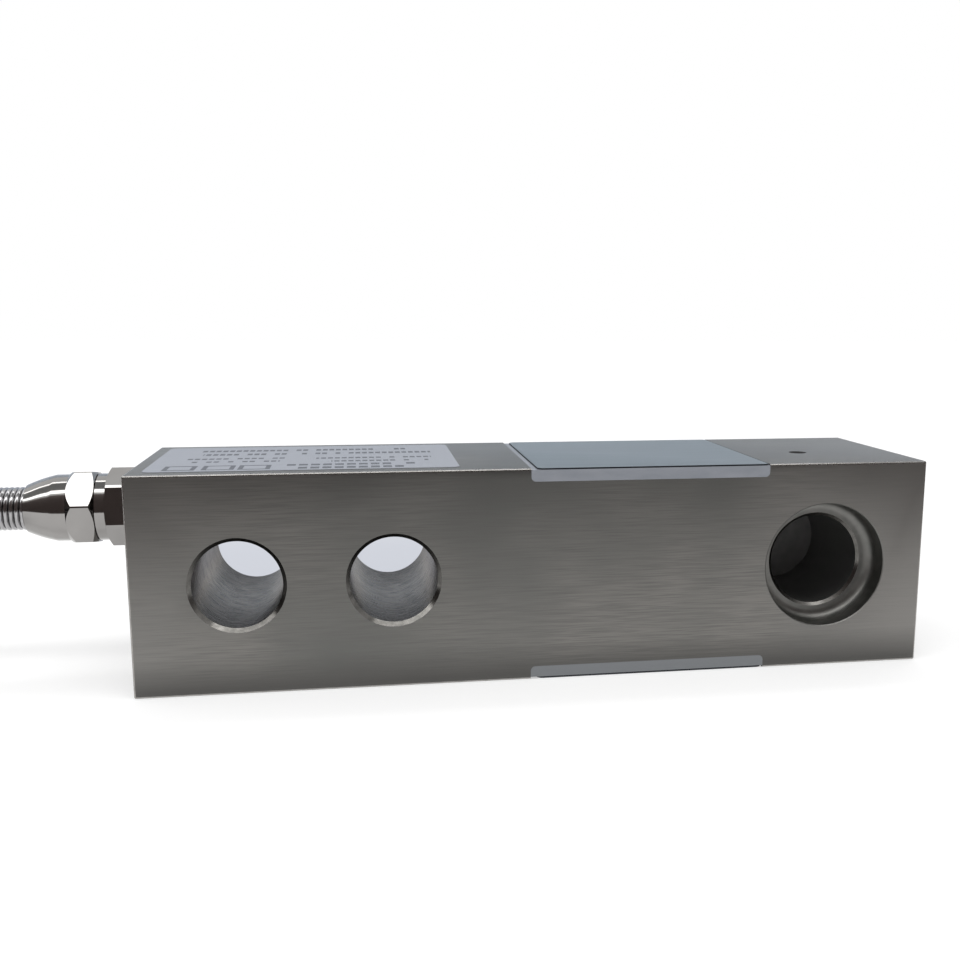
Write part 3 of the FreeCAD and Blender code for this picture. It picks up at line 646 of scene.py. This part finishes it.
towards_cable = Vector((-1, 0, 0))
hex_flats = 12.0 * MM
hex_corner = hex_flats / math.sqrt(3)
body_chamfer = 0.3 * MM
hex_chamfer = 0.6 * MM
nut_chamfer = 1.2 * MM
hex_turn = math.radians(10)
body_edge = 0.28 * MM
nut_edge = 0.18 * MM
gasket_thickness = 0.8 * MM
hex_end = 5.6 * MM
collar_end = 7.4 * MM
collar_radius = 5.8 * MM
collar_break = 0.15 * MM
collar_sink = 0.3 * MM
joint_overlap = 0.2 * MM
male_radius = 4.9 * MM
male_play = 0.1 * MM
male_end = 11.4 * MM
nut_hex_end = 11.85 * MM
dome_start = 14.2 * MM
nut_end = 19.0 * MM
dome_radius = 5.75 * MM
nose_radius = 4.15 * MM
dome_bulge = 0.15 * MM
dome_steps = 10
flange_start = 11.8 * MM
flange_end = 13.5 * MM
flange_radius = 4.9 * MM
guard_hole = 3.825 * MM
cable_hole = 2.7 * MM
shank_length = 6.4 * MM
shank_radius = 3.9 * MM

polished_nickel, shader, place = new_finish("polished_nickel", {"Metallic": 1.0})
plating = place.noise((220, 220, 220), 2.0)
handling = place.noise((1400, 1400, 1400), 3.0)
plating.spread(0.3, 0.7).blend(tone(147, 145, 143), tone(154, 152, 150)).feed(shader, "Base Color")
(0.06 + handling * 0.05).feed(shader, "Roughness")
plating.bump(shader, 0.004 * MM)

gland_rubber = new_moulded("gland_rubber", tone(30, 30, 31), tone(44, 44, 45), 0.6)


def hexagon(name, start, end, first_corner, edge, inner_cone, outer_cone):
    """A hexagon bar on the gland's axis, with its corners turned down to a cone at one end or both."""
    bpy.ops.object.select_all(action="DESELECT")
    bpy.ops.mesh.primitive_cylinder_add(
        vertices=6,
        radius=hex_corner,
        depth=end - start,
        location=gland_foot + towards_cable * (start + end) / 2,
        rotation=towards_cable.to_track_quat("Z", "Y").to_euler(),
    )
    bar = bpy.context.object
    bar.name = name
    bpy.ops.object.transform_apply(location=True, rotation=True, scale=True)
    bpy.ops.object.mode_set(mode="EDIT")
    bpy.ops.mesh.select_all(action="SELECT")
    bpy.ops.transform.rotate(value=first_corner, orient_axis="X", center_override=gland_foot)
    bpy.ops.object.mode_set(mode="OBJECT")
    round_edges(bar, lambda first, second: abs(first.x - second.x) > same_place, edge, steps=1)
    cone_tip = hex_flats - hex_corner
    inner = [(start - overrun, hex_corner)]
    outer = [(end + overrun, hex_corner)]
    if inner_cone:
        inner = [(start - inner_cone, cone_tip), (start + inner_cone, hex_corner)]
    if outer_cone:
        outer = [(end - outer_cone, hex_corner), (end + outer_cone, cone_tip)]
    combine(bar, turned("cones", inner + outer, gland_foot, towards_cable), "INTERSECT")
    return bar


gland_body = hexagon("plated_gland_body", gasket_thickness, hex_end, hex_turn, body_edge, 0, body_chamfer)
collar = turned(
    "collar",
    [
        (-shank_length, shank_radius),
        (gasket_thickness + joint_overlap, shank_radius),
        (gasket_thickness + joint_overlap, collar_radius - collar_sink),
        (hex_end - joint_overlap, collar_radius - collar_sink),
        (hex_end - joint_overlap, collar_radius),
        (collar_end - collar_break, collar_radius),
        (collar_end, collar_radius - collar_break),
        (collar_end, male_radius),
        (male_end, male_radius),
    ],
    gland_foot,
    towards_cable,
)
combine(gland_body, collar, "UNION")
passage = turned(
    "passage",
    [(-shank_length - overrun, cable_hole), (male_end + overrun, cable_hole)],
    gland_foot,
    towards_cable,
)
combine(gland_body, passage, "DIFFERENCE")
coat(gland_body, polished_nickel)
smooth(gland_body, degrees=25)
install(gland_body, "gland_nickel", "gland_body")

corner_in_front = hex_turn - math.radians(30)
gland_nut = hexagon(
    "plated_gland_nut", collar_end, nut_hex_end, corner_in_front, nut_edge, hex_chamfer, nut_chamfer
)
dome_stations = [(collar_end + joint_overlap, dome_radius), (dome_start, dome_radius)]
for step in range(1, dome_steps + 1):
    share = step / dome_steps
    taper = dome_radius + (nose_radius - dome_radius) * share
    bulge = dome_bulge * math.sin(math.pi * share)
    dome_stations.append((dome_start + (nut_end - dome_start) * share, taper + bulge))
combine(gland_nut, turned("dome", dome_stations, gland_foot, towards_cable), "UNION")
cavity = turned(
    "cavity",
    [
        (collar_end - overrun, male_radius + male_play),
        (flange_end, male_radius + male_play),
        (flange_end, guard_hole),
        (nut_end + overrun, guard_hole),
    ],
    gland_foot,
    towards_cable,
)
combine(gland_nut, cavity, "DIFFERENCE")
coat(gland_nut, polished_nickel)
smooth(gland_nut, degrees=25)
install(gland_nut, "gland_nickel", "gland_nut")
dress(gland_rubber, "gland_gasket", "gland_seal")

# Spring guard
# Bright spring wire, close wound round the cable, so that it can't be bent sharply at the gland.
# Its flange is clamped in the dome of the nut.

guard_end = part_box("spring_guard")[0].x
guard_radius = 3.725 * MM
guard_bore = 2.875 * MM
wire_radius = 0.425 * MM
wire_pitch = 0.87 * MM
guard_turns = int((gland_foot.x - guard_end - flange_end) / wire_pitch) - 1

spring_wire, shader, place = new_finish("spring_wire", {"Metallic": 1.0})
drawing_marks = place.noise((900, 900, 900), 2.0)
drawing_marks.spread(0.3, 0.7).blend(tone(160, 159, 160), tone(176, 175, 176)).feed(shader, "Base Color")
(0.12 + drawing_marks * 0.1).feed(shader, "Roughness")


def wind(wire, axis_foot, pitch, turns, steps):
    """Winds the outline of a wire round an axis along X, towards the cable where the pitch is negative."""
    bpy.context.view_layer.objects.active = wire
    bpy.ops.object.mode_set(mode="EDIT")
    bpy.ops.mesh.select_all(action="SELECT")
    bpy.ops.transform.translate(value=-axis_foot)
    bpy.ops.object.mode_set(mode="OBJECT")
    coil = wire.modifiers.new("Coil", "SCREW")
    coil.axis = "X"
    coil.angle = math.tau
    coil.screw_offset = pitch
    coil.iterations = turns
    coil.steps = steps
    coil.render_steps = steps
    bpy.ops.object.modifier_apply(modifier=coil.name)
    bpy.ops.object.mode_set(mode="EDIT")
    bpy.ops.mesh.select_all(action="SELECT")
    bpy.ops.mesh.remove_doubles(threshold=same_place)
    bpy.ops.mesh.fill_holes(sides=0)
    bpy.ops.mesh.select_all(action="SELECT")
    bpy.ops.mesh.normals_make_consistent(inside=False)
    bpy.ops.transform.translate(value=axis_foot)
    bpy.ops.object.mode_set(mode="OBJECT")


bpy.ops.object.select_all(action="DESELECT")
winding_start = gland_foot + towards_cable * (flange_end + wire_radius)
bpy.ops.mesh.primitive_circle_add(
    vertices=12,
    radius=wire_radius,
    location=winding_start + Vector((0, 0, guard_radius - wire_radius)),
    rotation=(math.radians(90), 0, 0),
)
spring_guard = bpy.context.object
spring_guard.name = "wound_spring_guard"
bpy.ops.object.transform_apply(location=True, rotation=True, scale=True)
wind(spring_guard, gland_foot, -wire_pitch, guard_turns, steps=40)
flange = turned(
    "flange",
    [(flange_start, flange_radius), (flange_end, flange_radius)],
    gland_foot,
    towards_cable,
)
flange_bore = turned(
    "flange_bore",
    [(flange_start - overrun, guard_bore), (flange_end + overrun, guard_bore)],
    gland_foot,
    towards_cable,
)
combine(flange, flange_bore, "DIFFERENCE")
bpy.ops.object.select_all(action="DESELECT")
flange.select_set(True)
spring_guard.select_set(True)
bpy.context.view_layer.objects.active = spring_guard
bpy.ops.object.join()
coat(spring_guard, spring_wire)
smooth(spring_guard, degrees=60)
install(spring_guard, "guard_steel", "spring_guard")

# Cable
# A round black lead with a moulded sheath runs through the gland, and the rest of it is wound to a tied hank.
# The hank has an inner column of turns, wound downwards, and an outer one, wound up round it.

cable_diameter = 5.2 * MM
exit_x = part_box("cable_in_guard")[0].x
straight_out = 20.0 * MM
hank_start = exit_x - 78.0 * MM
hank_near = exit_x - 41.1 * MM
hank_far = hank_near - 104.0 * MM
hank_end = hank_near - 34.0 * MM
hank_radii = (16.0 * MM, 21.2 * MM)
inner_layers = (4, 3, 2, 1, 0)
outer_layers = (0, 1, 2, 3)
first_layer = 3.6 * MM
top_layer = first_layer + inner_layers[0] * cable_diameter
lead_route = [
    (exit_x, 0, gland_height),
    (exit_x - straight_out, 0, gland_height),
    (hank_start + straight_out, -hank_radii[0], top_layer),
    (hank_start, -hank_radii[0], top_layer),
]
loop_steps = 6
half_step = math.pi / loop_steps / 2
round_out = 1 / math.cos(half_step)
shift_angles = (20, 120)
sink_angles = (40, 180)
climb_angles = (0, 90)

black_sheath, shader, place = new_finish("black_sheath", {"Specular IOR Level": 0.4})
matting = place.noise((1600, 1600, 1600), 3.0)
lay_marks = place.noise((90, 90, 90), 2.0)
sheath_tone = lay_marks.spread(0.3, 0.7).blend(tone(30, 30, 32), tone(40, 40, 42))
matting.spread(0.45, 0.8).blend(sheath_tone, tone(54, 54, 56)).feed(shader, "Base Color")
(0.42 + matting * 0.2).feed(shader, "Roughness")
matting.bump(shader, 0.03 * MM)


def eased(angle, start, end):
    """A smooth change from 0 to 1 between two angles in degrees."""
    share = min(max((math.degrees(angle) - start) / (end - start), 0), 1)
    return share * share * (3 - 2 * share)


def far_loop(radius, height):
    """Control points round the far loop, from the front side to the rear."""
    for step in range(loop_steps):
        angle = half_step + math.pi * step / loop_steps
        reach = radius * round_out
        yield (hank_far - reach * math.sin(angle), -reach * math.cos(angle), height)


def near_loop(radius_from, radius_to, height_from, height_to, shift, climb):
    """Control points round the near loop, from the rear side to the front, changing column and layer."""
    for step in range(loop_steps):
        angle = half_step + math.pi * step / loop_steps
        reach = (radius_from + (radius_to - radius_from) * eased(angle, *shift)) * round_out
        height = height_from + (height_to - height_from) * eased(angle, *climb)
        yield (hank_near + reach * math.sin(angle), reach * math.cos(angle), height)


route = list(lead_route)
hank_turns = [(hank_radii[0], layer) for layer in inner_layers]
hank_turns += [(hank_radii[1], layer) for layer in outer_layers]
for index, (radius, layer) in enumerate(hank_turns):
    height = first_layer + layer * cable_diameter
    lead_in = radius * round_out * math.sin(half_step)
    if index > 0:
        route.append((hank_near - lead_in, -radius, height))
    route.append((hank_far + lead_in, -radius, height))
    route.extend(far_loop(radius, height))
    route.append((hank_far + lead_in, radius, height))
    if index + 1 == len(hank_turns):
        route.append((hank_end, radius, height))
        break
    next_radius, next_layer = hank_turns[index + 1]
    next_height = first_layer + next_layer * cable_diameter
    route.append((hank_near - lead_in, radius, height))
    climb = sink_angles if next_layer < layer else climb_angles
    route.extend(near_loop(radius, next_radius, height, next_height, shift_angles, climb))

cable_line = bpy.data.curves.new("cable_line", "CURVE")
cable_line.dimensions = "3D"
spline = cable_line.splines.new("NURBS")
spline.points.add(len(route) - 1)
for point, spot in zip(spline.points, route):
    point.co = (*spot, 1)
spline.order_u = 3
spline.use_endpoint_u = True
spline.resolution_u = 8
cable_line.bevel_depth = cable_diameter / 2
cable_line.bevel_resolution = 4
cable_line.use_fill_caps = True
cable_line.materials.append(black_sheath)
cable = bpy.data.objects.new("wound_cable", cable_line)
bpy.context.scene.collection.objects.link(cable)
install(cable, "cable_sheath", "cable", "cable_hank")
dress(black_sheath, "cable_in_guard")

# Bare cores
# The far end of the cable is cut and bared for a terminal box: four coloured cores, each stripped at its tip,
# and a drain wire of three twisted strands. They lie on the top turn of the hank.

bared_length = 6.0 * MM
strand_share = 0.6
tip_round = 0.15 * MM
drain_strands = 3
drain_share = 0.46
drain_turns = 5
tinned_copper = new_moulded("tinned_copper", tone(176, 150, 128), tone(198, 176, 156), 0.3, metallic=1.0)
core_colours = {
    "black": (tone(28, 28, 29), tone(38, 38, 39)),
    "red": (tone(176, 30, 28), tone(190, 40, 36)),
    "green": (tone(36, 130, 58), tone(46, 146, 70)),
    "white": (tone(222, 221, 216), tone(232, 231, 227)),
}
wires = []
for colour, tones in core_colours.items():
    low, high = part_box(f"{colour}_core")
    core_radius = (high.z - low.z) / 2
    strand_radius = core_radius * strand_share
    full = high.x - low.x
    core = turned(
        f"stripped_{colour}_core",
        [
            (0, core_radius),
            (full - bared_length - tip_round, core_radius),
            (full - bared_length, core_radius - tip_round),
            (full - bared_length, strand_radius),
            (full - tip_round, strand_radius),
            (full, strand_radius - tip_round),
        ],
        Vector((low.x, (low.y + high.y) / 2, (low.z + high.z) / 2)),
        along_beam,
        sides=24,
    )
    insulation = new_moulded(f"{colour}_insulation", *tones, 0.4)
    bare_from = high.x - bared_length + hair
    paint(core, (insulation, tinned_copper), lambda spot: spot.x > bare_from)
    smooth(core, degrees=40)
    install(core, f"core_{colour}", f"{colour}_core")
    wires.append(core)

low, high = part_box("drain_wire")
drain_foot = Vector((low.x, (low.y + high.y) / 2, (low.z + high.z) / 2))
drain_radius = (high.z - low.z) / 2
drain_strand = drain_radius * drain_share
bpy.ops.object.select_all(action="DESELECT")
strands = []
for strand in range(drain_strands):
    angle = math.tau * strand / drain_strands
    reach = drain_radius - drain_strand
    bpy.ops.mesh.primitive_circle_add(
        vertices=8,
        radius=drain_strand,
        location=drain_foot + Vector((0, math.sin(angle), math.cos(angle))) * reach,
        rotation=(0, math.radians(90), 0),
    )
    strands.append(bpy.context.object)
bpy.ops.object.select_all(action="DESELECT")
for strand in strands:
    strand.select_set(True)
drain = strands[0]
bpy.context.view_layer.objects.active = drain
bpy.ops.object.join()
bpy.ops.object.transform_apply(location=True, rotation=True, scale=True)
drain.name = "twisted_drain_wire"
wind(drain, drain_foot, (high.x - low.x) / drain_turns, drain_turns, steps=24)
coat(drain, tinned_copper)
smooth(drain, degrees=60)
install(drain, "drain_copper", "drain_wire")
wires.append(drain)

# Ties
# A black nylon strap holds each side of the hank, slanted from its inner turns to its outer ones.
# Each is pulled through its own locking head, on top, and its tail is cut short.

tie_thickness = 1.0 * MM
strap_corner = 2.4 * MM
slant_low = 22.214 * MM
slant_in = 19.014 * MM
head_low = 27.4 * MM
head_size = Vector((5.6, 5.2, 3.8)) * MM
head_gap = 0.6 * MM
head_round = 0.5 * MM
tail_size = Vector((3.2, 1.6, 0.9)) * MM
tail_reach = 0.3 * MM
tail_height = 1.6 * MM
tie_nylon = new_moulded("tie_nylon", tone(30, 30, 31), tone(40, 40, 41), 0.4)
ties = []
for name, side in (("front_tie", -1), ("rear_tie", 1)):
    low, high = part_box(name)
    inside = min(abs(low.y), abs(high.y))
    outside = max(abs(low.y), abs(high.y))
    corners = [(inside, 0), (outside, 0), (outside, slant_low), (slant_in, high.z), (inside, high.z)]
    bpy.ops.object.select_all(action="DESELECT")
    bpy.ops.mesh.primitive_circle_add(vertices=len(corners), radius=outside, fill_type="NGON")
    strap = bpy.context.object
    strap.name = f"locking_{name}"
    for vertex, (across, up) in zip(strap.data.vertices, corners):
        vertex.co = (low.x, side * across, up)
    bpy.ops.object.mode_set(mode="EDIT")
    bpy.ops.mesh.select_all(action="SELECT")
    bpy.ops.mesh.bevel(offset=strap_corner, segments=4, affect="VERTICES")
    bpy.ops.mesh.select_all(action="SELECT")
    bpy.ops.mesh.inset(thickness=tie_thickness)
    bpy.ops.mesh.delete(type="ONLY_FACE")
    bpy.ops.mesh.select_all(action="SELECT")
    bpy.ops.mesh.extrude_region_move(TRANSFORM_OT_translate={"value": (high.x - low.x, 0, 0)})
    bpy.ops.mesh.select_all(action="SELECT")
    bpy.ops.mesh.normals_make_consistent(inside=False)
    bpy.ops.object.mode_set(mode="OBJECT")
    middle = Vector(((low.x + high.x) / 2, side * (inside + head_size.y / 2 + head_gap), head_low))
    head = new_box(
        "head",
        middle - Vector((head_size.x / 2, head_size.y / 2, 0)),
        middle + Vector((head_size.x / 2, head_size.y / 2, head_size.z)),
    )
    round_edges(head, lambda first, second: True, head_round, steps=3)
    tail_middle = middle + Vector((0, side * (head_size.y / 2 + tail_reach), tail_height))
    tail = new_box("tail", tail_middle - tail_size / 2, tail_middle + tail_size / 2)
    combine(head, tail, "UNION")
    combine(strap, head, "UNION")
    coat(strap, tie_nylon)
    smooth(strap, degrees=35)
    install(strap, "tie_plastic", name)
    ties.append(strap)

([gland_body, gland_nut, spring_guard, *wires, *ties]
    + [nodes[name] for name in ("gland_gasket", "gland_seal", "cable_in_guard")])

# Floor and backdrop
# A plain white table, and a white room that the camera and the polished metal see.
# Part of the table's white is its own, so that the object's shadow on it is faint.
# Behind the object the table has a painted soft grey shadow, which shows through the mounting holes.

floor_size = 4.0
floor_gap = 0.05 * MM
own_white = 0.4
own_strength = 1.2
glow_reach = (0.35, 1.0)
shade_slant = 0.21
shade_left = (-0.072, -0.052)
shade_right = (0.03, 0.085)
shade_front = (0.0, 0.018)
shade_rear = (0.085, 0.27)
room_light = 0.8


def soft_step(value, low, high):
    """0 below a lower limit and 1 above an upper one, with an eased change between them."""
    limits = {"Value": value, "From Min": low, "From Max": high}
    return value.node("ShaderNodeMapRange", {"interpolation_type": "SMOOTHSTEP"}, limits)


def seen_directly(tree):
    """1 for what the camera, a mirror or glass sees, and 0 for the light that falls on the object."""
    ray = tree.nodes.new("ShaderNodeLightPath")
    seen = Link(tree, ray.outputs["Is Camera Ray"])
    for kind in ("Is Glossy Ray", "Is Transmission Ray"):
        seen = seen + Link(tree, ray.outputs[kind])
    return seen.math("MINIMUM", seen, 1.0)


floor_white, shader, place = new_finish("floor_white", {"Roughness": 0.9, "Specular IOR Level": 0.1})
rearwards = place.axis("Y")
slanted = place.axis("X") + rearwards * shade_slant
# Painted shadow: a soft grey-blue patch on the table behind the beam.
shade = soft_step(slanted, *shade_left) * (1 - soft_step(slanted, *shade_right))
shade = shade * soft_step(rearwards, *shade_front) * (1 - soft_step(rearwards, *shade_rear))
far_off = place.node("ShaderNodeVectorMath", {"operation": "LENGTH"}, {0: place}, output="Value")
table_tone = place.noise((40, 40, 40), 2.0).blend(tone(246, 246, 246), tone(249, 249, 249))
shade.blend(table_tone, tone(198, 201, 209)).feed(shader, "Base Color")
glow = place.node("ShaderNodeEmission", {}, {"Strength": own_strength})
glowing = place.math("MAXIMUM", own_white * (1 - shade), far_off.spread(*glow_reach))
lit = Link(place.tree, shader.outputs["BSDF"])
surface = place.node("ShaderNodeMixShader", {}, {0: glowing * seen_directly(place.tree), 1: lit, 2: glow})
surface.feed(place.tree.nodes["Material Output"], "Surface")
bpy.ops.object.select_all(action="DESELECT")
bpy.ops.mesh.primitive_plane_add(size=floor_size, location=(0, 0, -floor_gap))
floor = bpy.context.object
floor.name = "floor"
coat(floor, floor_white)

world = bpy.data.worlds.new("white_room")
bpy.context.scene.world = world
world.use_nodes = True
sky = world.node_tree.nodes["Background"]
sky.inputs["Color"].default_value = (1, 1, 1, 1)
(room_light + (1 - room_light) * seen_directly(world.node_tree)).feed(sky, "Strength")

# Lamps and cards
# Two long soft strips hang over the object, one towards the camera and one behind, with a grey card above.
# Dark cards in front and past the cable's end, and a pale one behind, give the metal its shades.

strip_ends = (-1.5, 0.45)
strip_distance = 0.8
strip_brightness = 3.6
paper_speck = 3


def new_strip(name, elevation, width):
    """A strip lamp along X, at an elevation seen from the object, where 90 is straight above."""
    lamp = bpy.data.lights.new(name, "AREA")
    length = strip_ends[1] - strip_ends[0]
    lamp.shape = "RECTANGLE"
    lamp.size = length
    lamp.size_y = width
    lamp.energy = strip_brightness * math.pi * width * length
    strip = bpy.data.objects.new(name, lamp)
    angle = math.radians(elevation)
    strip.location = beam_middle + Vector((0, -math.cos(angle), math.sin(angle))) * strip_distance
    strip.location.x = (strip_ends[0] + strip_ends[1]) / 2
    strip.rotation_euler = (math.radians(elevation - 90), 0, 0)
    bpy.context.scene.collection.objects.link(strip)


new_strip("front_strip", elevation=66.2, width=0.24)
new_strip("rear_strip", elevation=108, width=0.1)


def new_card(name, colour, corners):
    """A card that only the metal sees, by its corners in millimetres, two along its foot and two on top."""
    finish, surface, spot = new_finish(f"{name}_paper", {"Roughness": 0.9, "Specular IOR Level": 0.1})
    grain = spot.noise((30, 30, 30), 2.0)
    specked = tuple(value + paper_speck for value in colour)
    grain.blend(tone(*colour), tone(*specked)).feed(surface, "Base Color")
    bpy.ops.object.select_all(action="DESELECT")
    bpy.ops.mesh.primitive_plane_add(size=1)
    card = bpy.context.object
    card.name = name
    for vertex, corner in zip(card.data.vertices, corners):
        vertex.co = Vector(corner) * MM
    coat(card, finish)
    card.visible_camera = False
    card.visible_diffuse = False
    card.visible_shadow = False


new_card(
    "black_card",
    (80, 71, 69),
    [(-1500, -155, 0), (1500, -155, 0), (-1500, -600, 850), (1500, -600, 850)],
)
new_card(
    "side_card",
    (66, 62, 60),
    [(-700, -200, 20), (-700, 330, 20), (-700, -200, 330), (-700, 330, 330)],
)
new_card(
    "grey_card",
    (207, 215, 226),
    [(-1500, 700, 0), (1500, 700, 0), (-1500, 700, 600), (1500, 700, 600)],
)
new_card(
    "ceiling_card",
    (160, 160, 160),
    [(-1500, -250, 900), (1500, -250, 900), (-1500, 300, 900), (1500, 300, 900)],
)

# Camera
# The eye is a little above the beam and about 20 cm from its middle.
# The picture is a cut from a wider one, so that its middle lies beside the lens's own.

eye = Vector((-31.32, -195.83, 62.97)) * MM
pitch_down = math.radians(9.669)
yaw_right = math.radians(9.798)
roll = math.radians(0.347)
lens = bpy.data.cameras.new("camera")
lens.sensor_width = 36
lens.lens = 40.646
lens.shift_x = -0.0678
lens.shift_y = 0.0154
lens.clip_start = 0.01
camera = bpy.data.objects.new("camera", lens)
aim = Euler((math.pi / 2 - pitch_down, 0, -yaw_right)).to_matrix().to_4x4()
camera.matrix_world = Matrix.Translation(eye) @ aim @ Matrix.Rotation(roll, 4, "Z")
bpy.context.scene.collection.objects.link(camera)
bpy.context.scene.camera = camera
bpy.context.scene.view_settings.view_transform = "Standard"
